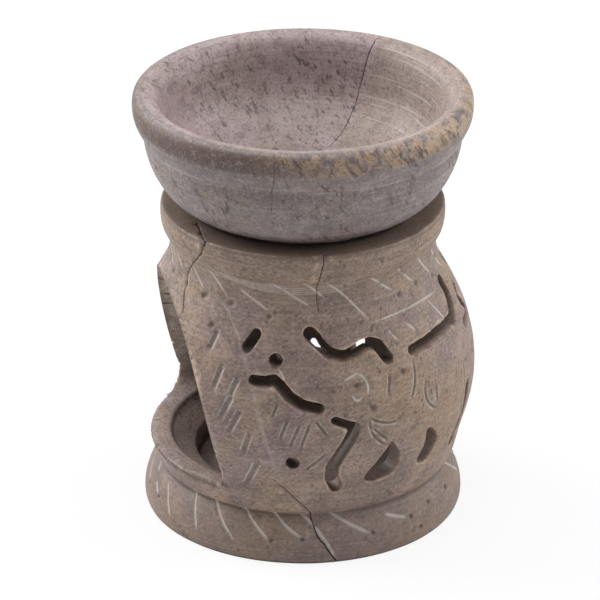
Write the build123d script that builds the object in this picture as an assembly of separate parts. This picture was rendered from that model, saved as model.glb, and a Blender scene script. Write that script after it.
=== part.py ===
from build123d import *
import os
from math import atan2, cos, degrees, radians, sin, sqrt

# Carved soapstone oil burner: a turned, hollow, pierced body and a loose bowl that rests on its top.
# Millimetres. The origin is the centre of the base on the table, +Z is up, the doorway faces -Y.
# Each rise is the height of a point of the turned outline above the point before it.

# Base disc and groove
foot_radius = 34.3
base_radius = 34.7
base_rise = 3.0
base_shoulder_radius = 33.3
base_shoulder_rise = 4.5
groove_radius = 31.4
groove_rise = 3.0

# Bulging wall, outside
lower_wall_radius = 34.4
lower_wall_rise = 7.5
under_belly_radius = 36.4
under_belly_rise = 7.0
belly_radius = 37.3
belly_rise = 8.0
shoulder_radius = 35.1
shoulder_rise = 12.0
upper_shoulder_radius = 30.8
upper_shoulder_rise = 9.0
neck_radius = 28.55
neck_rise = 7.3

# Rim and dished seat on top
rim_flare_radius = 29.8
rim_flare_rise = 3.2
rim_radius = 30.5
rim_rise = 3.3
top_edge_radius = 30.3
top_edge_rise = 2.5
seat_dish_depth = 0.8
bore_radius = 22.0

# Hollow inside
wall_thickness = 4.8
sill_height = 16.0
sill_step = 1.0
floor_dish_depth = 3.0
well_radius = 23.3
well_depth = 4.0

# Doorway: a round arch, cut off flat at the sill, with the corner on its -X side left round
door_arch_radius = 27.2
door_arch_height = 27.3
door_corner_radius = 6.5

# Bowl
seat_clearance = 0.2
bowl_underside_radius = 58.0
bowl_foot_radius = 14.0
bowl_turn_radius = 25.0
bowl_lower_radius = 30.0
bowl_lower_rise = 4.1
bowl_side_radius = 32.5
bowl_side_rise = 4.5
bowl_waist_radius = 33.95
bowl_waist_rise = 6.5
bowl_rim_radius = 36.15
bowl_rim_rise = 6.3
bowl_lip_radius = 33.9
bowl_lip_rise = 2.9
bowl_mouth_radius = 30.7
bowl_mouth_drop = 2.0
bowl_wall_thickness = 5.6
bowl_floor_thickness = 7.2

# Directions of the turned outlines where their curves start and end, as (outward, upward)
straight_up = (0, 1)
foot_lean = (0.6, 1)
into_groove = (-0.8, 1)
out_of_groove = (1, 0.8)
top_lean = (-0.2, 1)
chamber_lean = (0.3, 1)
waist_lean = (0.1, 1)
rim_lean = (0.6, 1)
inward = (-1, 0)
mouth_lean = (-0.45, -1)

# Carving: tool widths, and the azimuths of the planes that the front and the rear figures mirror in
slot_width = 2.1
trunk_slot_width = 2.3
leg_slot_width = 2.7
ear_slot_width = 1.8
tail_slot_width = 2.8
drill_radius = 1.4
front_mirror_azimuth = 178.7
rear_mirror_azimuth = 181.7

# Pierced figures, as (azimuth in degrees from the doorway, percent of the way from sill to neck).
# A slot follows its centre line with a round-ended tool, and a gap is a closed outline.
front_kidney = [(60.6, 80), (59.3, 77), (57.8, 74)]
front_trunk = [(62, 60.5), (66, 60.3), (69, 61.4), (71.4, 58.7), (74.5, 54), (78.8, 50.3), (84, 48.6)]
front_back = [(81.4, 81.2), (84.8, 77.3), (88.4, 72.9), (93.5, 70.9), (97.8, 72.6), (101, 74.5),
              (104.2, 74.9), (107.2, 73.2), (110, 66.8)]
front_back_end = [(81.4, 81.2), (83.4, 79)]
front_ear = [(89.3, 42.4), (92.5, 40.2), (96.5, 38)]
front_leg = [(95.8, 36.6), (94, 31), (91, 23.6), (88.8, 17.2), (88.7, 11), (90.4, 5.3)]
front_belly_gap = [(109.2, 26), (105, 17), (101.4, 6.4), (108.8, 5.7), (113.4, 9), (113.9, 15.5), (112, 22)]
front_eye = (69, 70)
drilled_dot = (75.3, 20.3)

rear_kidney = [(173.9, 89), (175.2, 86), (176.7, 83)]
rear_trunk = [(177, 58), (172, 54), (166, 50), (161.5, 46.5)]
rear_back = [(120.8, 67), (128, 67.7), (136, 69), (146, 69.3)]
rear_tail = [(148.3, 69), (150.5, 71.5), (152.5, 75.5), (154, 79), (154, 84)]
rear_loop = [(165.5, 75), (163.3, 72.3), (163.5, 69.5), (166.3, 66.3), (167.5, 63.3), (163.5, 61.3),
             (157.5, 61.3)]
rear_leg = [(151, 33), (150.5, 22), (148.6, 13), (147.2, 5.7)]
rear_belly_gap = [(125.5, 26.5), (129.1, 23), (131.9, 16.6), (130.6, 10), (127, 6), (123.6, 7.5),
                  (123.8, 12.6), (125, 18)]
far_front_belly_gap = [(254.3, 12.8), (255.6, 9.6), (255.2, 6.4), (252, 5), (248.8, 5.4), (250.7, 7.8),
                       (252.5, 10.4)]
far_rear_belly_gap = [(234.6, 26.5), (233.4, 18), (233, 10), (234.6, 6.5), (237.2, 6), (238.4, 10),
                      (237.8, 17), (236.4, 23)]

front_slots = [
    (front_kidney, slot_width),
    (front_trunk, trunk_slot_width),
    (front_back, trunk_slot_width),
    (front_back_end, leg_slot_width),
    (front_ear, ear_slot_width),
    (front_leg, leg_slot_width),
]
rear_slots = [
    (rear_kidney, slot_width),
    (rear_trunk, trunk_slot_width),
    (rear_back, slot_width),
    (rear_tail, tail_slot_width),
    (rear_loop, ear_slot_width),
    (rear_leg, leg_slot_width),
]
holes = [front_eye, drilled_dot]

# Heights that several features share
base_shoulder_height = base_rise + base_shoulder_rise
groove_height = base_shoulder_height + groove_rise
lower_wall_height = groove_height + lower_wall_rise
under_belly_height = lower_wall_height + under_belly_rise
belly_height = under_belly_height + belly_rise
shoulder_height = belly_height + shoulder_rise
upper_shoulder_height = shoulder_height + upper_shoulder_rise
neck_height = upper_shoulder_height + neck_rise
rim_flare_height = neck_height + rim_flare_rise
rim_height = rim_flare_height + rim_rise
body_height = rim_height + top_edge_rise
seat_height = body_height - seat_dish_depth
floor_edge_height = sill_height - sill_step
well_rim_height = floor_edge_height - floor_dish_depth
well_floor_height = well_rim_height - well_depth


def wall_stations():
    """Outer wall from the groove to the neck, as (radius, height)."""
    return [
        (groove_radius, groove_height),
        (lower_wall_radius, lower_wall_height),
        (under_belly_radius, under_belly_height),
        (belly_radius, belly_height),
        (shoulder_radius, shoulder_height),
        (upper_shoulder_radius, upper_shoulder_height),
        (neck_radius, neck_height),
    ]


def wall_radius(height):
    """Outer radius of the wall at a height, straight between two stations."""
    stations = wall_stations()
    for (low_radius, low), (high_radius, high) in zip(stations, stations[1:]):
        if low <= height <= high:
            return low_radius + (high_radius - low_radius) * (height - low) / (high - low)
    return neck_radius


def turned(edges):
    """A closed half section, drawn as (radius, height), turned about Z."""
    return revolve(Plane.XZ * make_face(edges), axis=Axis.Z)


def turned_body():
    """The body before carving: base, wall, neck, seat, hollow chamber and candle well."""
    foot_edge = (foot_radius, 0)
    groove = (groove_radius, groove_height)
    neck = (neck_radius, neck_height)
    top_edge = (top_edge_radius, body_height)
    seat_edge = (bore_radius, seat_height)
    bore_end = (bore_radius, neck_height)
    floor_edge = (wall_radius(floor_edge_height) - wall_thickness, floor_edge_height)
    inner_wall = []
    for radius, height in wall_stations()[:-1]:
        if height > sill_height + wall_thickness:
            inner_wall.append((radius - wall_thickness, height))
    base_side = Spline(
        foot_edge,
        (base_radius, base_rise),
        (base_shoulder_radius, base_shoulder_height),
        groove,
        tangents=[foot_lean, into_groove],
    )
    outer_wall = Spline(*wall_stations(), tangents=[out_of_groove, straight_up])
    rim_side = Spline(
        neck,
        (rim_flare_radius, rim_flare_height),
        (rim_radius, rim_height),
        top_edge,
        tangents=[straight_up, top_lean],
    )
    seat_and_bore = Polyline(top_edge, seat_edge, bore_end)
    chamber = Spline(floor_edge, *inner_wall, bore_end, tangents=[chamber_lean, straight_up])
    floor_and_foot = Polyline(
        floor_edge,
        (well_radius, well_rim_height),
        (well_radius, well_floor_height),
        (0, well_floor_height),
        (0, 0),
        foot_edge,
    )
    return turned([base_side, outer_wall, rim_side, seat_and_bore, chamber, floor_and_foot])


def doorway():
    """The round-arched cutter through the front wall, flat at the sill."""
    reach = belly_radius + door_arch_radius
    arch = Pos(0, door_arch_height) * Circle(door_arch_radius)
    above_sill = Pos(0, sill_height + reach) * Rectangle(2 * reach, 2 * reach)
    opening = arch & above_sill
    sill_corners = opening.vertices().sort_by(Axis.Y)[:2]
    opening = fillet(sill_corners.sort_by(Axis.X)[0], door_corner_radius)
    return extrude(Plane.XZ * opening, amount=reach)


def facing_plane(azimuth):
    """An upright plane in the hollow of the chamber that looks out at an azimuth from the doorway."""
    outward = Vector(sin(radians(azimuth)), -cos(radians(azimuth)), 0)
    sideways = Vector(cos(radians(azimuth)), sin(radians(azimuth)), 0)
    inside_chamber = bore_radius - wall_thickness
    return Plane(origin=outward * inside_chamber, x_dir=sideways, z_dir=outward)


def on_plane(points, azimuth):
    """Carved points as (across, height) on the plane that faces the given azimuth."""
    flat = []
    for point_azimuth, percent in points:
        height = sill_height + (neck_height - sill_height) * percent / 100
        across = wall_radius(height) * sin(radians(point_azimuth - azimuth))
        flat.append((across, height))
    return flat


def pierced(face, azimuth):
    """A flat shape pushed straight out through the wall at an azimuth."""
    return extrude(facing_plane(azimuth) * face, amount=belly_radius)


def slot_cutter(points, width):
    """A slot of one width, made of round-ended strokes from point to point of its centre line."""
    azimuth = (points[0][0] + points[-1][0]) / 2
    flat = [Vector(*point) for point in on_plane(points, azimuth)]
    face = Sketch()
    for start, end in zip(flat, flat[1:]):
        run = end - start
        stroke = SlotCenterToCenter(run.length, width)
        turn = degrees(atan2(run.Y, run.X))
        face += Pos(*(start + end) / 2) * Rot(0, 0, turn) * stroke
    return pierced(face, azimuth)


def gap_cutter(points):
    """A gap with a smooth closed outline."""
    azimuth = sum(point[0] for point in points) / len(points)
    outline = Spline(*on_plane(points, azimuth), periodic=True)
    return pierced(make_face(outline), azimuth)


def hole_cutter(point):
    """A drilled round hole."""
    azimuth = point[0]
    centre = on_plane([point], azimuth)[0]
    return pierced(Pos(*centre) * Circle(drill_radius), azimuth)


def mirrored(points, mirror_azimuth):
    """The same carved points on the other side of a mirror plane."""
    return [(2 * mirror_azimuth - azimuth, percent) for azimuth, percent in points]


def carving():
    """Every cutter of the four pierced elephants, a front and a rear one on each side of the doorway."""
    cutters = []
    for slots, mirror_azimuth in ((front_slots, front_mirror_azimuth), (rear_slots, rear_mirror_azimuth)):
        for points, width in slots:
            cutters += [slot_cutter(points, width), slot_cutter(mirrored(points, mirror_azimuth), width)]
    for point in holes + mirrored(holes, front_mirror_azimuth):
        cutters.append(hole_cutter(point))
    for outline in (front_belly_gap, rear_belly_gap, far_front_belly_gap, far_rear_belly_gap):
        cutters.append(gap_cutter(outline))
    return cutters


def underside_rise(radius):
    """How far the bowl's round underside has risen at a radius, above its lowest point."""
    return bowl_underside_radius - sqrt(bowl_underside_radius**2 - radius**2)


def turned_bowl():
    """The bowl, standing over the seat so that its round underside just clears the bore's edge."""
    sphere_bottom = seat_height + seat_clearance - underside_rise(bore_radius)

    def underside(radius):
        return (radius, sphere_bottom + underside_rise(radius))

    foot_edge = underside(bowl_foot_radius)
    middle = underside((bowl_foot_radius + bowl_turn_radius) / 2)
    turn = underside(bowl_turn_radius)
    turn_lean = (sqrt(bowl_underside_radius**2 - bowl_turn_radius**2), bowl_turn_radius)
    lower = (bowl_lower_radius, turn[1] + bowl_lower_rise)
    side_point = (bowl_side_radius, lower[1] + bowl_side_rise)
    waist = (bowl_waist_radius, side_point[1] + bowl_waist_rise)
    rim_point = (bowl_rim_radius, waist[1] + bowl_rim_rise)
    lip = (bowl_lip_radius, rim_point[1] + bowl_lip_rise)
    mouth = (bowl_mouth_radius, lip[1] - bowl_mouth_drop)
    foot_centre = (0, foot_edge[1])
    floor_centre = (0, foot_edge[1] + bowl_floor_thickness)
    inside_side = (bowl_side_radius - bowl_wall_thickness, side_point[1] + bowl_wall_thickness / 2)
    inside_turn = (bowl_turn_radius - bowl_wall_thickness, floor_centre[1] + bowl_wall_thickness / 2)
    return turned([
        Line(foot_centre, foot_edge),
        ThreePointArc(foot_edge, middle, turn),
        Spline(turn, lower, side_point, waist, tangents=[turn_lean, waist_lean]),
        Spline(waist, rim_point, lip, tangents=[rim_lean, inward]),
        Spline(lip, mouth, tangents=[inward, mouth_lean]),
        Spline(mouth, inside_side, inside_turn, floor_centre, tangents=[mouth_lean, inward]),
        Line(floor_centre, foot_centre),
    ])


burner_body = turned_body() - doorway() - carving()
oil_bowl = turned_bowl()

os.makedirs("parts", exist_ok=True)
for node, solid in {"burner_body": burner_body, "oil_bowl": oil_bowl}.items():
    export_step(solid, f"parts/{node}.step")
    box = solid.bounding_box()
    print(node, "solids", len(solid.solids()), "volume", round(solid.volume), "top", round(box.max.Z, 2))
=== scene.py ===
# %% [markdown]
# A carved soapstone oil burner, dressed in Blender.
# The real object is two stones: a hollow body, turned on a lathe, pierced and engraved by hand,
# and a loose bowl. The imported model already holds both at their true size. This lesson copies each stone,
# wears its edges, cuts the engraving into it, opens the cracks and gives it the colours of the rock.

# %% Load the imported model
import math

import bpy
import numpy as np
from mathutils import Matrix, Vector


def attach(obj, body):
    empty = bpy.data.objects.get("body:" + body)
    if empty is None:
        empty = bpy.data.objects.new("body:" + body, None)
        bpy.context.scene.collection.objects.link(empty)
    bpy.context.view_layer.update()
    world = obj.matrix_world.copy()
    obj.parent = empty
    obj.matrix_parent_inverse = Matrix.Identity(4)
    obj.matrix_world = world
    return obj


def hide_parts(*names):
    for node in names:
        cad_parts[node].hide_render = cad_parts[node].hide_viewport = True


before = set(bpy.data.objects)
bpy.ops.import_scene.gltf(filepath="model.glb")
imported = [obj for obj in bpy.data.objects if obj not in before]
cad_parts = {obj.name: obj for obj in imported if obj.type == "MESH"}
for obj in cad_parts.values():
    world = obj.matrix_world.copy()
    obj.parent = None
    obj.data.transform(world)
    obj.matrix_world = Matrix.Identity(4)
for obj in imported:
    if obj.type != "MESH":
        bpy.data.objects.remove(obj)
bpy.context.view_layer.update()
MM = 0.001


# %% [markdown]
# The camera stands to the right of the doorway and looks a little down on the rim.
# A long lens far away keeps the ellipses of rim and base nearly alike, as in a catalogue picture.
# Azimuth is counted from the doorway, which faces -Y, towards +X.

# %% Camera
camera_azimuth = 78.7
camera_elevation = 25.4
camera_distance = 900 * MM
camera_aim = Vector((0, 0, 46 * MM))
camera_lens = 250.2
picture_pixels = 600
axis_right_of_middle = 2.84


def direction(azimuth, elevation=0.0):
    """Unit vector that points from the axis out to an azimuth and up to an elevation, in degrees."""
    turn = math.radians(azimuth)
    rise = math.radians(elevation)
    return Vector((math.sin(turn) * math.cos(rise), -math.cos(turn) * math.cos(rise), math.sin(rise)))


towards_camera = direction(camera_azimuth, camera_elevation)
bpy.ops.object.select_all(action="DESELECT")
bpy.ops.object.camera_add(
    location=camera_aim + towards_camera * camera_distance,
    rotation=(-towards_camera).to_track_quat("-Z", "Y").to_euler(),
)
camera = bpy.context.active_object
camera.data.sensor_width = 36
camera.data.lens = camera_lens
camera.data.shift_x = -axis_right_of_middle / picture_pixels
camera.data.clip_start = 0.05
bpy.context.scene.camera = camera
bpy.context.scene.view_settings.view_transform = "Standard"
print("camera at", [round(value, 3) for value in camera.location])


# %% [markdown]
# Every material below is made of nodes. One small function adds a node, sets its values and links its
# sockets. Colours are written as sRGB hex values, as a paint chart gives them, and one function turns them
# to linear light.

# %% Colours and nodes
def linear(code):
    """Linear RGBA of an sRGB hex value such as 8a7a70."""
    channels = [int(code[place:place + 2], 16) / 255 for place in (0, 2, 4)]
    bent = [c / 12.92 if c <= 0.04045 else ((c + 0.055) / 1.055) ** 2.4 for c in channels]
    return (*bent, 1.0)


def add_node(tree, kind, settings=None, links=None):
    """A new node, with its properties and input values set and other nodes' sockets linked into it."""
    node = tree.nodes.new(kind)
    for name, value in (settings or {}).items():
        if isinstance(name, int) or name in node.inputs:
            node.inputs[name].default_value = value
        else:
            setattr(node, name, value)
    for name, socket in (links or {}).items():
        tree.links.new(socket, node.inputs[name])
    return node


def empty_material(name):
    """A material with nodes and nothing in it but its output."""
    material = bpy.data.materials.new(name)
    material.use_nodes = True
    material.node_tree.nodes.clear()
    output = add_node(material.node_tree, "ShaderNodeOutputMaterial")
    return material, material.node_tree, output


print("white is", linear("ffffff")[0])


# %% [markdown]
# The burner stands on a white table in white surroundings, lit from both sides and from above,
# so the side that faces the camera is the darker one.
# The table and the surroundings are plain white to the camera, and only dim light for the stone.
# The table still takes part of its colour from the lamps, so that the shadow under the base stays.

# %% Table, surroundings and lamps
surroundings_light = 0.14
table_glow = 0.86


def seen_directly(tree):
    """1 for rays from the camera, in reflections and through clear things, and 0 for light on the stone."""
    path = add_node(tree, "ShaderNodeLightPath").outputs
    seen = path["Is Camera Ray"]
    for kind in ("Is Glossy Ray", "Is Transmission Ray"):
        seen = add_node(tree, "ShaderNodeMath", {"operation": "MAXIMUM"}, {0: seen, 1: path[kind]}).outputs[0]
    return seen


bpy.ops.object.select_all(action="DESELECT")
bpy.ops.mesh.primitive_plane_add(size=6)
table = bpy.context.active_object
table.name = "white_table"
table_finish, tree, output = empty_material("white_table_board")
share = add_node(tree, "ShaderNodeMath", {"operation": "MULTIPLY", 1: table_glow}, {0: seen_directly(tree)})
board = add_node(tree, "ShaderNodeBsdfDiffuse", {"Color": linear("f4f4f4")})
glow = add_node(tree, "ShaderNodeEmission", {"Color": linear("ffffff"), "Strength": 1.0})
mixed = add_node(tree, "ShaderNodeMixShader", {},
                 {0: share.outputs[0], 1: board.outputs[0], 2: glow.outputs[0]})
tree.links.new(mixed.outputs[0], output.inputs["Surface"])
table.data.materials.append(table_finish)

world = bpy.data.worlds.new("white_surroundings")
bpy.context.scene.world = world
world.use_nodes = True
tree = world.node_tree
tree.nodes.clear()
output = add_node(tree, "ShaderNodeOutputWorld")
level = add_node(tree, "ShaderNodeMapRange", {"To Min": surroundings_light, "To Max": 1.0},
                 {"Value": seen_directly(tree)})
white = add_node(tree, "ShaderNodeBackground", {"Color": linear("ffffff")}, {"Strength": level.outputs[0]})
tree.links.new(white.outputs[0], output.inputs["Surface"])


def soft_lamp(name, azimuth, elevation, distance, size, power):
    """A square soft box that faces the middle of the burner."""
    facing = direction(azimuth, elevation)
    bpy.ops.object.light_add(
        type="AREA",
        location=camera_aim + facing * distance,
        rotation=facing.to_track_quat("Z", "Y").to_euler(),
    )
    lamp = bpy.context.active_object
    lamp.name = name
    lamp.data.size = size
    lamp.data.energy = power


soft_lamp("left_soft_box", camera_azimuth - 112, 30, 0.8, 0.6, 6.5)
soft_lamp("right_soft_box", camera_azimuth + 98, 24, 0.8, 0.6, 4.0)
soft_lamp("top_soft_box", camera_azimuth, 88, 0.9, 0.7, 5.9)


# %% [markdown]
# Soapstone is so soft that handling rounds every edge. Bevels would have to follow hundreds of short cut
# edges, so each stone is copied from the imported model, welded, and remeshed into an even net
# of small squares.
# Smoothing that net wears all edges round at once. To know where the edges are, each vertex is asked how far
# its neighbours fall away from its tangent plane, and the sharpest places are smoothed again.
# Where the bowl sits on the body nothing is worn, so the two keep touching all round,
# and the edges of the doorway, which were cut last, stay crisp.
# A cloudy push then gives the slight unevenness of hand turning.

# %% Worn copies of the two stones
net_levels = 8
even_rounds = 4
edge_rounds = 18
wobble_size = 9.0
wobble_height = 0.10
weight_levels = 64
foot_height = 1.5
sill_height = 16.0
door_centre_height = 27.3
door_arch_radius = 27.2
seat_radius = 25
seat_bottom = 67
resting_radius = 27
resting_top = 74


def make_active(piece):
    """Selects one object alone."""
    bpy.ops.object.select_all(action="DESELECT")
    piece.select_set(True)
    bpy.context.view_layer.objects.active = piece


def finish_modifier(piece, name, kind, **settings):
    """Adds a modifier with its settings and applies it."""
    modifier = piece.modifiers.new(name, kind)
    for setting, value in settings.items():
        setattr(modifier, setting, value)
    make_active(piece)
    bpy.ops.object.modifier_apply(modifier=modifier.name)


def read_vertices(piece, name):
    """A vertex property as an array with one row per vertex."""
    values = np.zeros(len(piece.data.vertices) * 3)
    piece.data.vertices.foreach_get(name, values)
    return values.reshape(-1, 3)


def edge_pairs(piece):
    """The two vertex numbers of every edge."""
    pairs = np.zeros(len(piece.data.edges) * 2, dtype=np.int32)
    piece.data.edges.foreach_get("vertices", pairs)
    return pairs.reshape(-1, 2)


def spread(values, pairs, rounds):
    """Values averaged with those of neighbouring vertices, several times over."""
    count = np.bincount(pairs.ravel(), minlength=len(values)) + 1
    for turn in range(rounds):
        total = values.copy()
        total += np.bincount(pairs[:, 0], weights=values[pairs[:, 1]], minlength=len(values))
        total += np.bincount(pairs[:, 1], weights=values[pairs[:, 0]], minlength=len(values))
        values = total / count
    return values


def convexity(piece):
    """How sharply the surface bends outward at each vertex, per mm, and inward where it is negative."""
    place = read_vertices(piece, "co") / MM
    normal = read_vertices(piece, "normal")
    pairs = edge_pairs(piece)
    run = place[pairs[:, 1]] - place[pairs[:, 0]]
    square = np.maximum((run * run).sum(axis=1), 1e-4)
    first = -(normal[pairs[:, 0]] * run).sum(axis=1) / square
    second = (normal[pairs[:, 1]] * run).sum(axis=1) / square
    count = np.maximum(np.bincount(pairs.ravel(), minlength=len(place)), 1)
    bend = np.bincount(pairs[:, 0], weights=first, minlength=len(place))
    bend += np.bincount(pairs[:, 1], weights=second, minlength=len(place))
    return spread(bend / count, pairs, 2)


def smoothstep(values, low, high):
    """0 below low, 1 above high and a soft change between."""
    share = np.clip((values - low) / (high - low), 0, 1)
    return share * share * (3 - 2 * share)


def weigh(piece, name, values):
    """A vertex group whose weights are the values, in steps."""
    group = piece.vertex_groups.new(name=name)
    levels = np.rint(np.clip(values, 0, 1) * weight_levels).astype(int)
    for level in range(1, weight_levels + 1):
        group.add(np.where(levels == level)[0].tolist(), level / weight_levels, "REPLACE")


def worn_copy(node, name, is_held):
    """A welded copy of a CAD node, remeshed and worn where it isn't held."""
    piece = bpy.data.objects.new(name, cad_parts[node].data.copy())
    bpy.context.scene.collection.objects.link(piece)
    make_active(piece)
    bpy.ops.object.mode_set(mode="EDIT")
    bpy.ops.mesh.select_all(action="SELECT")
    bpy.ops.mesh.remove_doubles(threshold=0.001 * MM)
    bpy.ops.object.mode_set(mode="OBJECT")
    finish_modifier(piece, "even_net", "REMESH", mode="SHARP", octree_depth=net_levels, scale=0.99,
                    use_remove_disconnected=False)
    place = read_vertices(piece, "co") / MM
    free = 1.0 - is_held(place)
    weigh(piece, "free", free)
    finish_modifier(piece, "wear", "SMOOTH", factor=0.5, iterations=even_rounds, vertex_group="free")
    edges = spread(smoothstep(convexity(piece), 0.12, 0.4), edge_pairs(piece), 3)
    weigh(piece, "edges", 1.6 * edges * free * (place[:, 2] > foot_height))
    finish_modifier(piece, "round_edges", "SMOOTH", factor=0.5, iterations=edge_rounds, vertex_group="edges")
    clouds = bpy.data.textures.new(f"{name}_wobble", "CLOUDS")
    clouds.noise_scale = wobble_size * MM
    clouds.noise_depth = 2
    finish_modifier(piece, "wobble", "DISPLACE", texture=clouds, texture_coords="LOCAL", vertex_group="free",
                    strength=-wobble_height * MM, mid_level=0.0)
    piece.vertex_groups.clear()
    return piece


def body_hold(place):
    """1 where the body isn't worn: on the seat under the bowl and at the edges of the doorway."""
    seat = (np.hypot(place[:, 0], place[:, 1]) < seat_radius) & (place[:, 2] > seat_bottom)
    from_arch = np.abs(np.hypot(place[:, 0], place[:, 2] - door_centre_height) - door_arch_radius)
    at_door = (place[:, 1] < 0) * smoothstep(place[:, 2], sill_height + 1.5, sill_height + 6)
    return np.maximum(seat, at_door * (1 - smoothstep(from_arch, 0.6, 1.4)))


def bowl_hold(place):
    """1 where the bowl isn't worn: on its round underside, which rests on the body."""
    return (np.hypot(place[:, 0], place[:, 1]) < resting_radius) & (place[:, 2] < resting_top)


body = worn_copy("burner_body", "carved_body", body_hold)
bowl = worn_copy("oil_bowl", "turned_bowl", bowl_hold)
for piece in (body, bowl):
    print(piece.name, "faces after wear", len(piece.data.polygons))


# %% [markdown]
# The engraving is drawn on the unrolled wall, as (azimuth, height): a carver marks out a turned form the
# same way. To unroll the wall its outline must be known, so it is felt with rays from outside,
# along an azimuth between doorway and carving where nothing is pierced.

# %% Feel the outline of the wall
plain_azimuth = 53.0
outline_heights = np.arange(0.3, 70.2, 0.25)


def felt_radius(node, azimuth, height):
    """Radius in mm where a ray from outside meets a CAD node."""
    outward = direction(azimuth)
    start = outward * 60 * MM + Vector((0, 0, height * MM))
    hit, place, normal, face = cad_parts[node].ray_cast(start, -outward)
    return Vector((place.x, place.y)).length / MM


outline_radii = np.array([felt_radius("burner_body", plain_azimuth, height) for height in outline_heights])
outline_steps = np.hypot(np.diff(outline_heights), np.diff(outline_radii))
outline_lengths = np.concatenate([[0.0], np.cumsum(outline_steps)])
print("belly radius", round(outline_radii.max(), 2), "outline length", round(outline_lengths[-1], 1))


# %% [markdown]
# Each cut is a tool drawn along a short path, or turned on one spot. A needle leaves a fine white scratch,
# a scriber a white hair line, a scraper a shallow band and a chisel a white groove. The graver and the wider
# gouge cut deeper grooves with white lips. A dimple is a wide pit with pale lips, and punch and drill leave
# dark ones. The dark cores of pits and deeper grooves are dirt and painted shade.
# Soft stone turns white where it is scratched, at the lips of a cut, and bluish grey where fresh rock shows.
# All the cuts of one side of the doorway are listed, and the other side mirrors them.
# The slanting strokes on the shoulder and on the base are listed for the side that faces the camera,
# and a loop carries each ring on round the rest.

# %% Engraved marks
front_mirror_azimuth = 178.7
rear_mirror_azimuth = 181.7
figures_meet_azimuth = 118.0
beside_door_azimuth = 58.0
border_low_radius = 33.8
border_high_radius = 36.0
border_low_angle = -11
border_high_angle = 62
shoulder_ring_step = 13.5
base_ring_step = 12.0

# The last column darkens the core of a cut with dirt and painted shade.
tools = {
    "needle": {"width": 0.5, "depth": 0.05, "white": 0.5, "lips": 0.0, "fresh": 0.0, "dirt_and_cut_shade": 0.0},
    "scraper": {"width": 1.4, "depth": 0.10, "white": 0.35, "lips": 0.3, "fresh": 0.5, "dirt_and_cut_shade": 0.0},
    "scriber": {"width": 0.7, "depth": 0.14, "white": 0.85, "lips": 0.0, "fresh": 0.0, "dirt_and_cut_shade": 0.0},
    "chisel": {"width": 1.1, "depth": 0.25, "white": 0.75, "lips": 0.2, "fresh": 0.2, "dirt_and_cut_shade": 0.0},
    "graver": {"width": 1.3, "depth": 0.34, "white": 0.0, "lips": 0.55, "fresh": 0.4, "dirt_and_cut_shade": 0.4},
    "gouge": {"width": 2.1, "depth": 0.48, "white": 0.0, "lips": 0.65, "fresh": 0.5, "dirt_and_cut_shade": 0.35},
    "dimple": {"width": 2.5, "depth": 0.42, "white": 0.0, "lips": 0.4, "fresh": 0.4, "dirt_and_cut_shade": 0.5},
    "punch": {"width": 2.2, "depth": 0.50, "white": 0.0, "lips": 0.0, "fresh": 0.0, "dirt_and_cut_shade": 0.9},
    "drill": {"width": 1.5, "depth": 0.45, "white": 0.0, "lips": 0.0, "fresh": 0.0, "dirt_and_cut_shade": 0.8},
}

leaf_veins = [
    [(44.8, 51.6), (43.0, 47.6)],
    [(49.7, 45.5), (47.2, 39.9)],
    [(56.3, 43.6), (53.4, 39.1)],
    [(54.7, 39.8), (50.5, 33.8)],
    [(58.0, 37.0), (53.8, 31.4)],
    [(61.4, 32.3), (58.3, 26.2)],
    [(63.7, 25.0), (58.0, 17.8)],
]
grass = [
    [(70.3, 39.0), (68.7, 36.1)],
    [(73.9, 35.9), (71.3, 31.2)],
    [(77.8, 34.9), (74.6, 29.6)],
    [(81.0, 34.8), (77.8, 28.9)],
    [(82.9, 35.4), (86.8, 31.8)],
    [(79.4, 23.3), (86.3, 27.4)],
]
eye_folds = [
    [(95.2, 40.5), (96.7, 39.2), (98.9, 39.8)],
    [(93.0, 43.7), (97.8, 44.9)],
    [(97.8, 44.9), (100.6, 43.0), (100.8, 40.2)],
]
drapery = [
    [(109.4, 43.2), (108.2, 39.1)],
    [(119.8, 44.7), (119.3, 40.4), (116.9, 36.6)],
    [(124.0, 39.5), (123.8, 35.1), (128.9, 32.0)],
    [(128.6, 37.5), (128.8, 33.9)],
    [(146.4, 38.0), (147.9, 34.5), (146.7, 30.1), (146.8, 25.9)],
    [(100.8, 35.1), (106.3, 33.1), (112.0, 32.9)],
    [(100.8, 34.6), (102.7, 30.4), (107.8, 27.5)],
    [(101.6, 32.6), (107.5, 28.9)],
]
panel_lines = [
    [(107.9, 53.8), (120.3, 54.1), (132.3, 54.2), (144.2, 54.0)],
    [(121.3, 52.0), (125.0, 49.8)],
    [(112.8, 51.6), (115.6, 49.4)],
    [(137.4, 53.7), (142.8, 48.7)],
    [(70.1, 46.4), (72.0, 44.6), (72.8, 43.2)],
]
side_pits = [(33.4, 56.9), (41.6, 52.2), (114.7, 43.0), (97.0, 42.2), (102.3, 36.9)]
shoulder_strokes = [
    [(51.2, 60.5), (63.9, 57.1)],
    [(65.0, 63.2), (81.7, 58.1)],
    [(78.8, 63.7), (91.3, 58.2)],
    [(87.9, 63.5), (96.7, 59.8), (105.6, 54.4)],
    [(108.5, 62.9), (119.5, 58.6)],
    [(121.8, 63.4), (132.1, 58.6)],
    [(136.4, 63.1), (147.3, 57.6)],
    [(151.3, 62.3), (164.1, 55.2)],
]
shoulder_pits = [(65.0, 55.9), (122.7, 57.2), (134.3, 57.7), (149.0, 56.5)]
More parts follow.
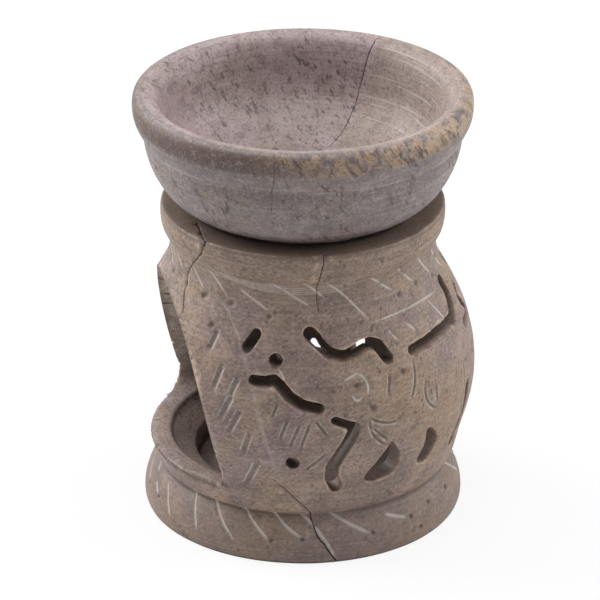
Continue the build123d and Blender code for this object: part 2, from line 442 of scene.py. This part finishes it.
base_strokes = [
    [(14.6, 9.1), (22.2, 3.6)],
    [(31.1, 11.2), (37.1, 3.8)],
    [(41.6, 11.1), (47.3, 7.4), (53.3, 4.0)],
    [(54.2, 11.4), (60.7, 7.9), (66.2, 5.3)],
    [(66.6, 11.1), (72.1, 8.3), (78.0, 6.1)],
    [(77.2, 10.8), (83.2, 8.0), (90.2, 1.2)],
    [(88.3, 10.8), (96.5, 8.1), (103.6, 5.7)],
    [(111.2, 8.5), (120.3, 6.5)],
]
base_pits = [(67.3, 5.2), (78.4, 5.7), (104.8, 5.5), (122.0, 6.2), (132.8, 7.1), (146.5, 7.1), (125.9, 3.2)]
neck_scratches = []
for row in range(6):
    sweep = 3.0 * row
    drop = 0.42 * row
    middle = (46 + sweep, 63.2 - drop)
    neck_scratches.append([(33 + sweep, 64.0 - drop), middle, (72 + 2 * sweep, 63.0 - 0.6 * drop)])


def mirrored(points):
    """The same path on the other side of the doorway."""
    start = points[0][0]
    plane = front_mirror_azimuth if start < figures_meet_azimuth else rear_mirror_azimuth
    if start < beside_door_azimuth:
        plane = 180
    return [(2 * plane - azimuth, height) for azimuth, height in points]


def wall_radius(height):
    """Outer radius of the wall at a height, in mm."""
    return np.interp(height, outline_heights, outline_radii)


def border_arch(points=9):
    """The line that runs round the doorway, from the sill to the crown."""
    arch = []
    for angle in np.linspace(border_low_angle, border_high_angle, points):
        share = (angle - border_low_angle) / (border_high_angle - border_low_angle)
        radius = border_low_radius + (border_high_radius - border_low_radius) * share
        height = door_centre_height + radius * math.sin(math.radians(angle))
        across = radius * math.cos(math.radians(angle))
        arch.append((math.degrees(math.asin(across / wall_radius(height))), height))
    return arch


marks = []
for side in (list, mirrored):
    marks += [("gouge", side(points)) for points in leaf_veins]
    marks += [("graver", side(points)) for points in grass + drapery]
    marks += [("scriber", side(points)) for points in eye_folds + panel_lines]
    marks += [("needle", side(points)) for points in neck_scratches]
    marks += [("punch", side([pit])) for pit in side_pits]
marks += [("scraper", side(border_arch())) for side in (list, mirrored)]
marks += [("scriber", points) for points in shoulder_strokes]
marks += [("dimple", [pit]) for pit in shoulder_pits]
marks += [("chisel", points) for points in base_strokes]
marks += [("drill", [pit]) for pit in base_pits]
for azimuth in np.arange(165, 402, shoulder_ring_step):
    marks.append(("scriber", [(azimuth, 63.2), (azimuth + 11, 58.2)]))
    marks.append(("dimple", [(azimuth + shoulder_ring_step, 57.2)]))
for azimuth in np.arange(155, 365, base_ring_step):
    marks.append(("chisel", [(azimuth, 10.9), (azimuth + 6, 7.8), (azimuth + base_ring_step, 5.4)]))
    marks.append(("drill", [(azimuth + 13, 5.2)]))
print("engraved marks", len(marks))


# %% [markdown]
# The stone has cracked in a few places. A crack runs on in short straight steps and is wider at one end,
# so each is a list of points with a width in mm at its start and end, and small seeded kinks between them.
# Cracks in the wall are drawn on the unrolled wall, as (azimuth, height). Those that run out over a rim are
# drawn as seen from above, as (azimuth, radius), between two heights.

# %% Cracks
wall_cracks = [
    (0.36, 0.22, [(36.4, 70.2), (35.7, 68.9), (33.9, 66.6), (25.7, 63.0), (22.4, 61.0), (20.5, 59.0),
                  (20.3, 57.2), (21.4, 56.0), (23.6, 54.3), (25.7, 52.1)]),
    (0.22, 0.14, [(-0.3, 62.0), (1.7, 60.6), (-0.4, 57.6)]),
    (0.26, 0.10, [(87.0, 70.2), (86.6, 68.2), (85.9, 65.9), (84.2, 61.7), (84.6, 59.5), (84.9, 56.4)]),
    (0.14, 0.50, [(70.3, 19.3), (74.1, 17.0), (76.2, 15.3), (78.0, 14.1), (81.4, 11.5), (82.5, 8.1),
                  (84.9, 5.6), (87.6, 3.3), (90.3, 0.5)]),
]
seat_cracks = [(0.20, 0.36, [(16.5, 25.2), (24.0, 26.6), (31.9, 28.6), (36.4, 30.4)], 69.0, 71.0)]
bowl_cracks = [
    (0.24, 0.12, [(229.3, 36.0), (229.4, 33.3), (229.7, 31.1), (230.3, 30.2), (232.6, 28.8), (233.4, 25.3),
                  (233.6, 20.5), (237.5, 16.2)], 74.0, 96.0),
    (0.08, 0.05, [(69.3, 36.0), (67.6, 33.9), (67.5, 31.5)], 81.0, 95.0),
]
kink_spacing = 1.1
kink_size = 0.16
rim_crack_seed = 40


def flat_from_above(points):
    """Points as (azimuth, radius) turned to x and y in mm."""
    return np.array([(radius * math.sin(math.radians(azimuth)), -radius * math.cos(math.radians(azimuth)))
                     for azimuth, radius in points])


def kinked(path, seed):
    """A path in mm, cut into short steps that stray a little to either side."""
    run = np.concatenate([[0.0], np.cumsum(np.linalg.norm(np.diff(path, axis=0), axis=1))])
    steps = np.linspace(0, run[-1], max(3, int(run[-1] / kink_spacing)))
    even = np.stack([np.interp(steps, run, path[:, axis]) for axis in (0, 1)], axis=1)
    return even + np.random.default_rng(seed).uniform(-kink_size, kink_size, even.shape)


print("cracks", len(wall_cracks) + len(seat_cracks) + len(bowl_cracks))


# %% [markdown]
# To cut the marks, every vertex of the worn copy is laid on the unrolled wall, and its distance to each path
# gives how deep the tool goes there. Boolean cutters for hundreds of strokes would leave slivers,
# so the depth is written into a vertex group and a Displace modifier presses it in, as a sculptor's brush
# would. Faces near a mark are subdivided first, so that hair lines stay fine, and those near a crack
# once more.

# %% Distances on the stone
def survey(piece):
    """Azimuth in degrees, radius and height in mm of every vertex, and which lie on the outer wall."""
    place = read_vertices(piece, "co") / MM
    normal = read_vertices(piece, "normal")
    radius = np.hypot(place[:, 0], place[:, 1])
    outward = (normal[:, 0] * place[:, 0] + normal[:, 1] * place[:, 1]) / np.maximum(radius, 0.1)
    return {
        "flat": place[:, :2],
        "azimuth": np.degrees(np.arctan2(place[:, 0], -place[:, 1])),
        "radius": radius,
        "height": place[:, 2],
        "outward": outward,
        "up": normal[:, 2],
        "on_wall": (np.abs(radius - wall_radius(place[:, 2])) < 1.4) & (outward > 0.1),
    }


def smooth_path(path, spacing=0.8):
    """Points along a path, on one smooth curve through up to four points and straight between more."""
    run = np.concatenate([[0.0], np.cumsum(np.linalg.norm(np.diff(path, axis=0), axis=1))])
    steps = np.linspace(0, run[-1], max(2, int(run[-1] / spacing) + 1))
    if len(path) <= 4:
        curves = [np.polyfit(run, path[:, axis], len(path) - 1) for axis in (0, 1)]
        return np.stack([np.polyval(curve, steps) for curve in curves], axis=1)
    return np.stack([np.interp(steps, run, path[:, axis]) for axis in (0, 1)], axis=1)


def distance_to(points, path):
    """Distance of flat points from a path, and how far along it the nearest place is, from 0 to 1."""
    if len(path) == 1:
        return np.linalg.norm(points - path[0], axis=1), np.full(len(points), 0.5)
    nearest = np.full(len(points), np.inf)
    along = np.zeros(len(points))
    for number, (start, end) in enumerate(zip(path, path[1:])):
        run = end - start
        share = np.clip((points - start) @ run / (run @ run), 0, 1)
        gap = np.linalg.norm(points - start - share[:, None] * run, axis=1)
        closer = gap < nearest
        nearest = np.where(closer, gap, nearest)
        along = np.where(closer, (number + share) / (len(path) - 1), along)
    return nearest, along


def near_path(flat, allowed, path, reach):
    """The allowed vertices within reach of a path, with their distance from it and place along it."""
    boxed = np.all((flat > path.min(axis=0) - reach) & (flat < path.max(axis=0) + reach), axis=1)
    near = np.where(boxed & allowed)[0]
    gap, along = distance_to(flat[near], path)
    close = gap < reach
    return near[close], gap[close], along[close]


def unrolled(felt, points):
    """The vertices and a path laid flat on the wall, in mm, about the middle of the path."""
    azimuths, heights = np.array(points, float).T
    middle = azimuths.mean()
    radius = wall_radius(heights.mean())
    path = np.stack([np.radians(azimuths - middle) * radius,
                     np.interp(heights, outline_heights, outline_lengths)], axis=1)
    turn = (felt["azimuth"] - middle + 180) % 360 - 180
    flat = np.stack([np.radians(turn) * radius,
                     np.interp(felt["height"], outline_heights, outline_lengths)], axis=1)
    return flat, path


def near_mark(felt, points, reach):
    """The wall's vertices within reach of a mark."""
    flat, path = unrolled(felt, points)
    return near_path(flat, felt["on_wall"], smooth_path(path) if len(path) > 1 else path, reach)


def in_cracks(felt, wall_lines, rim_lines, margin=0.0):
    """How far between the lips of a crack each vertex lies: 0 at the lips, 1 in the middle."""
    depth = np.zeros(len(felt["height"]))
    found = []
    for number, (start_width, end_width, points) in enumerate(wall_lines):
        flat, path = unrolled(felt, points)
        found.append((start_width, end_width, flat, felt["on_wall"], kinked(path, number)))
    for number, (start_width, end_width, points, low, high) in enumerate(rim_lines):
        allowed = (felt["height"] > low) & (felt["height"] < high)
        path = kinked(flat_from_above(points), rim_crack_seed + number)
        found.append((start_width, end_width, felt["flat"], allowed, path))
    for start_width, end_width, flat, allowed, path in found:
        near, gap, along = near_path(flat, allowed, path, max(start_width, end_width) / 2 + margin)
        half = (start_width + (end_width - start_width) * along) / 2 + margin
        depth[near] = np.maximum(depth[near], np.clip(1 - gap / half, 0, 1))
    return depth


print("vertices on the wall", int(survey(body)["on_wall"].sum()))

# %% Cut the marks and the cracks
deepest_cut = 0.7
deepest_wear = 0.6
worn_azimuths = (34, 58)
worn_from_heights = (10.6, 12.5)
worn_to_heights = (17.0, 18.5)
crack_depth = 0.6
fine_margin = 0.35
crack_margin = 0.25
body_triangles = 165000
bowl_triangles = 110000


def refine(piece, chosen):
    """Subdivides the faces that touch the chosen vertices."""
    make_active(piece)
    bpy.context.tool_settings.mesh_select_mode = (False, False, True)
    mesh = piece.data
    corners = np.zeros(len(mesh.loops), dtype=np.int32)
    mesh.loops.foreach_get("vertex_index", corners)
    starts = np.zeros(len(mesh.polygons), dtype=np.int32)
    mesh.polygons.foreach_get("loop_start", starts)
    touched = np.maximum.reduceat(chosen[corners].astype(np.int8), starts).astype(bool)
    mesh.vertices.foreach_set("select", np.zeros(len(mesh.vertices), dtype=bool))
    mesh.edges.foreach_set("select", np.zeros(len(mesh.edges), dtype=bool))
    mesh.polygons.foreach_set("select", touched)
    bpy.ops.object.mode_set(mode="EDIT")
    bpy.ops.mesh.subdivide(number_cuts=1)
    bpy.ops.object.mode_set(mode="OBJECT")


def press_in(piece, depth):
    """Moves each vertex into the stone by its depth in mm."""
    weigh(piece, "cuts", depth / deepest_cut)
    finish_modifier(piece, "cut", "DISPLACE", vertex_group="cuts", strength=-deepest_cut * MM, mid_level=0.0)
    piece.vertex_groups.clear()


def thin(piece, most):
    """Brings a piece down to a number of triangles, first where it is flattest."""
    triangles = sum(len(face.vertices) - 2 for face in piece.data.polygons)
    share = min(1.0, most / triangles)
    finish_modifier(piece, "thin", "DECIMATE", ratio=share, use_collapse_triangulate=True)
    print(piece.name, "triangles before and after thinning", triangles, len(piece.data.polygons))


def cut_depths(felt):
    """Depth in mm that the tools reach at each vertex of the body."""
    depth = np.zeros(len(felt["height"]))
    for tool, points in marks:
        half = tools[tool]["width"] / 2
        near, gap, along = near_mark(felt, points, half)
        taper = np.clip(0.3 + 4 * np.minimum(along, 1 - along), 0, 1)
        side = np.clip(1 - gap / half, 0, 1)
        depth[near] = np.maximum(depth[near], tools[tool]["depth"] * taper * side * side * (3 - 2 * side))
    return depth


def sill_wear(felt):
    """Depth in mm that hands have worn off the front of the sill."""
    before_door = 1 - smoothstep(np.abs(felt["azimuth"]), *worn_azimuths)
    below_top = 1 - smoothstep(felt["height"], *worn_to_heights)
    heights = smoothstep(felt["height"], *worn_from_heights) * below_top
    return deepest_wear * before_door * heights * felt["on_wall"]


felt = survey(body)
close_to_cut = np.zeros(len(felt["height"]), dtype=bool)
for tool, points in marks:
    close_to_cut[near_mark(felt, points, tools[tool]["width"] / 2 + fine_margin)[0]] = True
close_to_cut |= in_cracks(felt, wall_cracks, seat_cracks, fine_margin) > 0
refine(body, close_to_cut)
refine(body, in_cracks(survey(body), wall_cracks, seat_cracks, crack_margin) > 0)
felt = survey(body)
press_in(body, np.maximum(cut_depths(felt), crack_depth * in_cracks(felt, wall_cracks, seat_cracks)))
press_in(body, sill_wear(survey(body)))
for margin in (fine_margin, crack_margin):
    refine(bowl, in_cracks(survey(bowl), [], bowl_cracks, margin) > 0)
press_in(bowl, crack_depth * in_cracks(survey(bowl), [], bowl_cracks))
thin(body, body_triangles)
thin(bowl, bowl_triangles)


# %% [markdown]
# Materials need to know where the stone was cut, cracked, worn or sooted, and where painted shade and painted
# light go. Each of these is a number on every vertex, which the material reads by name, so the pattern stays
# with the stone in any view and in any file it is saved to.

# %% Vertex attributes of the two stones
crack_halo = 1.0
soot_and_shade_top = 62
dust_and_light_top = 17.5
bowl_inside_bottom = 74.5


def store(piece, name, values):
    """Saves one number for each vertex under a name."""
    attribute = piece.data.attributes.new(name, "FLOAT", "POINT")
    attribute.data.foreach_set("value", np.clip(values, 0, 1).astype(np.float32))


felt = survey(body)
bend = convexity(body)
chalk = np.zeros(len(bend))
fresh = np.zeros(len(bend))
dirt_and_cut_shade = np.zeros(len(bend))
for tool, points in marks:
    finish = tools[tool]
    half = finish["width"] / 2
    near, gap, along = near_mark(felt, points, half + 0.4)
    taper = np.clip(0.45 + 4 * np.minimum(along, 1 - along), 0, 1)
    core = np.clip(1.25 - gap / half, 0, 1)
    lips = np.exp(-((gap - half * 0.75) / 0.22) ** 2)
    chalk[near] = np.maximum(chalk[near], taper * np.maximum(finish["white"] * core, finish["lips"] * lips))
    fresh[near] = np.maximum(fresh[near], finish["fresh"] * taper * core)
    dirt_and_cut_shade[near] = np.maximum(dirt_and_cut_shade[near], finish["dirt_and_cut_shade"] * core)
depth_in_wall = wall_radius(felt["height"]) - felt["radius"]
store(body, "chalk", chalk)
store(body, "fresh_cut", fresh)
store(body, "crack", smoothstep(in_cracks(felt, wall_cracks, seat_cracks), 0.05, 0.5))
beside_crack = smoothstep(in_cracks(felt, wall_cracks, seat_cracks, crack_halo), 0.0, 0.4)
place = read_vertices(body, "co") / MM
# The dark cores of cuts and pits, and the concave corners, carry dirt and painted shade.
in_corner = smoothstep(-bend, 0.06, 0.35) * (1 - beside_crack) * (1 - body_hold(place))
# Convex edges are paler: wear, with a painted highlight.
store(body, "worn_and_highlit_edge", smoothstep(bend, 0.10, 0.45) * (1 - beside_crack))
store(body, "dirt_and_hollow_shade", np.maximum(dirt_and_cut_shade, in_corner))
from_arch = np.abs(np.hypot(place[:, 0], place[:, 2] - door_centre_height) - door_arch_radius)
# The sawn faces of the doorway are paler: fresh cut stone, with painted light on the shadowed jamb.
sawn_and_lit = (place[:, 1] < 0) * (1 - smoothstep(from_arch, 0.3, 0.9)) * smoothstep(depth_in_wall, 0.2, 0.8)
sawn_and_lit *= smoothstep(felt["height"], sill_height + 1, sill_height + 6)
store(body, "sawn_and_lit", sawn_and_lit)
# Inside the wall the stone is darker: soot in the chamber, and painted shade on the walls of the chamber and
# slots.
in_wall = smoothstep(depth_in_wall, 0.25, 1.2) * (1 - sawn_and_lit) * (felt["height"] < soot_and_shade_top)
store(body, "soot_and_recess_shade", in_wall * smoothstep(felt["height"], sill_height + 1.2, sill_height + 4))
# Upward faces inside the wall, on the sill and the chamber floor, are paler: dust, and painted light that
# comes in through the openings.
store(body, "dust_and_floor_light", smoothstep(felt["up"], 0.4, 0.9) * (felt["height"] < dust_and_light_top) * (depth_in_wall > 0.6))
print("worn share of the body", round(float((bend > 0.2).mean()), 3))

felt = survey(bowl)
bend = convexity(bowl)
inside = smoothstep(-felt["outward"], -0.25, 0.1) * (felt["height"] > bowl_inside_bottom)
main_crack = bowl_cracks[0][2]
crack_start, crack_end = flat_from_above([main_crack[1], main_crack[-1]])
crack_side = np.array([crack_start[1] - crack_end[1], crack_end[0] - crack_start[0]])
beyond = (felt["flat"] - crack_end) @ crack_side / np.linalg.norm(crack_side)
store(bowl, "inside", inside)
store(bowl, "beyond_crack", inside * smoothstep(beyond, -1.0, 2.5))
store(bowl, "crack", smoothstep(in_cracks(felt, [], bowl_cracks), 0.05, 0.5))
beside_crack = smoothstep(in_cracks(felt, [], bowl_cracks, crack_halo), 0.0, 0.4)
# Convex edges of the bowl are paler: wear, with a painted highlight.
store(bowl, "worn_and_highlit_edge", smoothstep(bend, 0.06, 0.3) * (1 - beside_crack))
print("inside share of the bowl", round(float((inside > 0.5).mean()), 3))


# %% [markdown]
# Soapstone is talc rock: brownish grey, cloudy, with fine grain, dark flakes and pale flecks, matt to satin.
# Both stones are built alike. Patterns of noise, each at a real size in millimetres, are laid over each
# other from below to above, as washes of paint would be: every layer has a colour, a strength and one or more
# limits that say where it shows. A limit reads a pattern, a vertex attribute, the height, the radius or the
# way back from the doorway, and runs from none at its first value to all at its second.
# Lathe streaks are noise in the turning's own coordinates: radius and height change quickly,
# the way round slowly.

# %% Layered stone
streak_across = 0.5
streak_along = 22.0


def layered_stone(name, ground, patterns, attributes, layers, bumps, roughness):
    """A stone material from its ground colour, patterns, vertex attributes, colour layers and bumps."""
    material, tree, output = empty_material(name)
    metres = add_node(tree, "ShaderNodeTexCoord").outputs["Object"]
    enlarge = {"operation": "SCALE", "Scale": 1 / MM}
    place = add_node(tree, "ShaderNodeVectorMath", enlarge, {0: metres}).outputs[0]
    axes = add_node(tree, "ShaderNodeSeparateXYZ", {}, {0: place}).outputs
    flatten = {"operation": "MULTIPLY", 1: (1, 1, 0)}
    level = add_node(tree, "ShaderNodeVectorMath", flatten, {0: place}).outputs[0]
    radius = add_node(tree, "ShaderNodeVectorMath", {"operation": "LENGTH"}, {0: level}).outputs["Value"]
    slower = {"operation": "MULTIPLY", 1: streak_across / streak_along}
    round_x = add_node(tree, "ShaderNodeMath", slower, {0: axes["X"]}).outputs[0]
    round_y = add_node(tree, "ShaderNodeMath", slower, {0: axes["Y"]}).outputs[0]
    turned_axes = {"X": radius, "Y": axes["Z"], "Z": round_x}
    turning = add_node(tree, "ShaderNodeCombineXYZ", {}, turned_axes).outputs[0]
    streaks = add_node(
        tree, "ShaderNodeTexNoise",
        {"noise_dimensions": "4D", "Scale": 1 / streak_across, "Detail": 2.0, "Roughness": 0.6},
        {"Vector": turning, "W": round_y},
    )
    sources = {
        "height": axes["Z"],
        "radius": radius,
        "backward": axes["Y"],
        "streaks": streaks.outputs["Fac"],
    }
    for pattern, (size, detail, stretch) in patterns.items():
        laid = add_node(
            tree, "ShaderNodeMapping",
            {"vector_type": "TEXTURE", "Scale": stretch, "Rotation": (0.5, 0.35, 0.2)},
            {"Vector": place},
        ).outputs[0]
        noise = add_node(
            tree, "ShaderNodeTexNoise",
            {"Scale": 1 / size, "Detail": detail, "Roughness": 0.6},
            {"Vector": laid},
        )
        sources[pattern] = noise.outputs["Fac"]
    for attribute in attributes:
        stored = add_node(tree, "ShaderNodeAttribute", {"attribute_name": attribute})
        sources[attribute] = stored.outputs["Fac"]
    colour = None
    for code, strength, limits in layers:
        mask = None
        for source, low, high in limits:
            limit = add_node(
                tree, "ShaderNodeMapRange",
                {"interpolation_type": "SMOOTHSTEP", "From Min": low, "From Max": high,
                 "To Max": strength if mask is None else 1.0},
                {"Value": sources[source]},
            ).outputs[0]
            if mask is not None:
                both = {0: mask, 1: limit}
                limit = add_node(tree, "ShaderNodeMath", {"operation": "MULTIPLY"}, both).outputs[0]
            mask = limit
        settings = {"data_type": "RGBA", 7: linear(code)}
        links = {0: mask}
        if colour is None:
            settings[6] = linear(ground)
        else:
            links[6] = colour
        colour = add_node(tree, "ShaderNodeMix", settings, links).outputs[2]
    normal = None
    for source, depth in bumps:
        links = {"Height": sources[source]}
        if normal is not None:
            links["Normal"] = normal
        normal = add_node(tree, "ShaderNodeBump", {"Distance": depth * MM}, links).outputs[0]
    shine = add_node(tree, "ShaderNodeMapRange",
                     {"From Min": 0.35, "From Max": 0.65, "To Min": roughness[0], "To Max": roughness[1]},
                     {"Value": sources["blotch"]}).outputs[0]
    shader = add_node(tree, "ShaderNodeBsdfPrincipled", {"IOR": 1.54},
                      {"Base Color": colour, "Roughness": shine, "Normal": normal})
    tree.links.new(shader.outputs[0], output.inputs["Surface"])
    print(name, "nodes", len(tree.nodes))
    return material


# %% [markdown]
# The body is brown soapstone, turned and then carved and rubbed down, so it is dull.
# Handling has left pale edges, lightened further by a painted highlight. The grooves and hollows hold brown
# dirt and painted shade, the chamber is smoked, its walls and the slots carry painted shade, and fresh cuts
# are paler than the skin.

# %% Body finish
even = (1, 1, 1)
body_patterns = {
    "blotch": (12.0, 4.0, even),
    "patch": (17.0, 3.0, even),
    "drift": (26.0, 3.0, even),
    "mottle": (3.6, 3.0, (1.3, 1.3, 0.8)),
    "grain": (0.5, 2.0, (1.6, 1.6, 0.8)),
    "speck": (1.5, 1.0, even),
    "fleck": (1.0, 1.0, even),
}
body_layers = [
    ("79675f", 0.70, [("blotch", 0.52, 0.38)]),
    ("a08b7c", 0.55, [("blotch", 0.50, 0.64)]),
    ("846f6c", 0.65, [("patch", 0.47, 0.58)]),
    ("967e62", 0.55, [("drift", 0.48, 0.60)]),
    ("8c7760", 0.60, [("drift", 0.56, 0.42), ("height", 57.0, 65.0)]),
    # Dust, and painted light on the sill and the chamber floor.
    ("a29591", 0.30, [("dust_and_floor_light", 0.2, 1.0)]),
    # Sawn doorway faces: paler cut stone, with painted light on the shadowed jamb.
    ("c4b6ad", 0.90, [("sawn_and_lit", 0.1, 0.9)]),
    ("66564f", 0.45, [("mottle", 0.49, 0.36)]),
    ("ab978a", 0.32, [("mottle", 0.52, 0.67)]),
    ("62534c", 0.22, [("streaks", 0.50, 0.36)]),
    ("b4a297", 0.22, [("streaks", 0.52, 0.68)]),
    ("544741", 0.50, [("grain", 0.47, 0.33)]),
    ("b9a99d", 0.34, [("grain", 0.53, 0.70)]),
    ("463a35", 0.55, [("speck", 0.65, 0.72)]),
    ("d0c3b8", 0.25, [("fleck", 0.72, 0.78)]),
    ("665751", 0.35, [("height", 12.0, 9.0)]),
    # Brown dirt and painted shade in the cuts, pits and concave corners.
    ("55483f", 0.80, [("dirt_and_hollow_shade", 0.1, 1.0)]),
    ("6b5b51", 0.60, [("height", 69.2, 69.5)]),
    # Soot in the chamber, and painted shade on the walls of the chamber and the slots.
    ("4f423b", 0.60, [("soot_and_recess_shade", 0.1, 1.0)]),
    # Pale worn edges, partly a painted highlight.
    ("c0aa93", 0.60, [("worn_and_highlit_edge", 0.25, 1.0), ("mottle", 0.30, 0.50)]),
    ("9b9393", 0.55, [("fresh_cut", 0.2, 1.0)]),
    ("d2c9c3", 0.75, [("chalk", 0.15, 0.9), ("mottle", 0.26, 0.50)]),
    # Painted contact shadow: a dark line along the foot.
    ("352c28", 0.80, [("height", 0.8, 0.3)]),
    ("2b211c", 0.95, [("crack", 0.2, 0.8)]),
]
body_attributes = ["chalk", "fresh_cut", "crack", "worn_and_highlit_edge", "dirt_and_hollow_shade", "soot_and_recess_shade", "dust_and_floor_light", "sawn_and_lit"]
body_bumps = [("mottle", 0.10), ("grain", 0.06), ("streaks", 0.05)]
body_finish = layered_stone("soapstone_brown_carved", "8a766d", body_patterns, body_attributes, body_layers,
                            body_bumps, (0.58, 0.72))

# %% [markdown]
# The bowl is a mauve grey soapstone with dark flakes in clusters. It was finished on the lathe, so it is
# smoother, with a pale tool line under the rim. The rim's outer edge is stained by hands and oil:
# brown towards the doorway and ochre behind.

# %% Bowl finish
slanted = (1, 0.55, 1.9)
rim_heights = (89.6, 91.2)
bowl_patterns = {
    "blotch": (15.0, 4.0, even),
    "patch": (20.0, 3.0, even),
    "mottle": (3.0, 3.0, even),
    "grain": (0.6, 2.0, even),
    "flake": (1.8, 3.0, slanted),
    "pepper": (0.8, 1.0, even),
    "cluster": (10.0, 2.0, even),
    "fleck": (1.0, 1.0, even),
}
bowl_layers = [
    ("6e6261", 0.70, [("blotch", 0.52, 0.36)]),
    ("8d8080", 0.50, [("blotch", 0.50, 0.66)]),
    # The inside is painted paler: painted light from above.
    ("a99594", 0.75, [("inside", 0.2, 1.0)]),
    ("857566", 0.50, [("patch", 0.49, 0.60)]),
    ("907f71", 0.60, [("beyond_crack", 0.1, 1.0)]),
    ("655858", 0.42, [("mottle", 0.49, 0.36)]),
    ("a89a98", 0.34, [("mottle", 0.52, 0.67)]),
    ("655a5c", 0.24, [("streaks", 0.50, 0.36)]),
    ("b1a5a1", 0.24, [("streaks", 0.53, 0.68)]),
    ("4e3624", 0.80, [("radius", 34.9, 35.6), ("height", *rim_heights), ("backward", 0, -20),
                      ("mottle", 0.30, 0.46)]),
    ("a88a68", 0.65, [("radius", 34.4, 35.5), ("height", *rim_heights), ("backward", -20, 0),
                      ("mottle", 0.38, 0.54)]),
    ("b59d7e", 0.45, [("height", 91.0, 93.0), ("radius", 32.6, 34.8), ("backward", 6, 24),
                      ("mottle", 0.38, 0.54)]),
    ("4d3a2e", 0.60, [("radius", 34.2, 35.2), ("height", *rim_heights), ("flake", 0.50, 0.62)]),
    ("584c4d", 0.48, [("grain", 0.47, 0.33)]),
    ("b4a8a6", 0.30, [("grain", 0.53, 0.70)]),
    ("45373a", 0.80, [("flake", 0.55, 0.66), ("cluster", 0.42, 0.55), ("beyond_crack", 0.7, 0.2)]),
    ("504548", 0.55, [("pepper", 0.63, 0.71)]),
    ("d2c6c2", 0.25, [("fleck", 0.70, 0.77)]),
    # Pale worn edges, partly a painted highlight.
    ("c4b8b0", 0.35, [("worn_and_highlit_edge", 0.3, 1.0), ("mottle", 0.42, 0.56)]),
    ("d8d0cb", 0.26, [("streaks", 0.60, 0.68), ("beyond_crack", 0.3, 1.0)]),
    ("d0c6c3", 0.30, [("height", 85.8, 86.0), ("height", 86.35, 86.15), ("radius", 33.0, 33.3),
                      ("blotch", 0.42, 0.56)]),
    ("4a3c38", 0.90, [("crack", 0.2, 0.8)]),
]
bowl_attributes = ["inside", "beyond_crack", "crack", "worn_and_highlit_edge"]
bowl_bumps = [("mottle", 0.06), ("grain", 0.05), ("streaks", 0.06)]
bowl_finish = layered_stone("soapstone_mauve_turned", "7c706f", bowl_patterns, bowl_attributes, bowl_layers,
                            bowl_bumps, (0.48, 0.62))
for piece, finish in ((body, body_finish), (bowl, bowl_finish)):
    piece.data.materials.clear()
    piece.data.materials.append(finish)
    make_active(piece)
    bpy.ops.object.shade_smooth()


# %% [markdown]
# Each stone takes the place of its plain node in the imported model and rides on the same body.

# %% Join the frame
for piece, node, slot, moving_body in ((body, "burner_body", "body_stone", "burner"),
                                       (bowl, "oil_bowl", "bowl_stone", "bowl")):
    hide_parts(node)
    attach(piece, moving_body)
    print(piece.name, "triangles", sum(len(face.vertices) - 2 for face in piece.data.polygons))
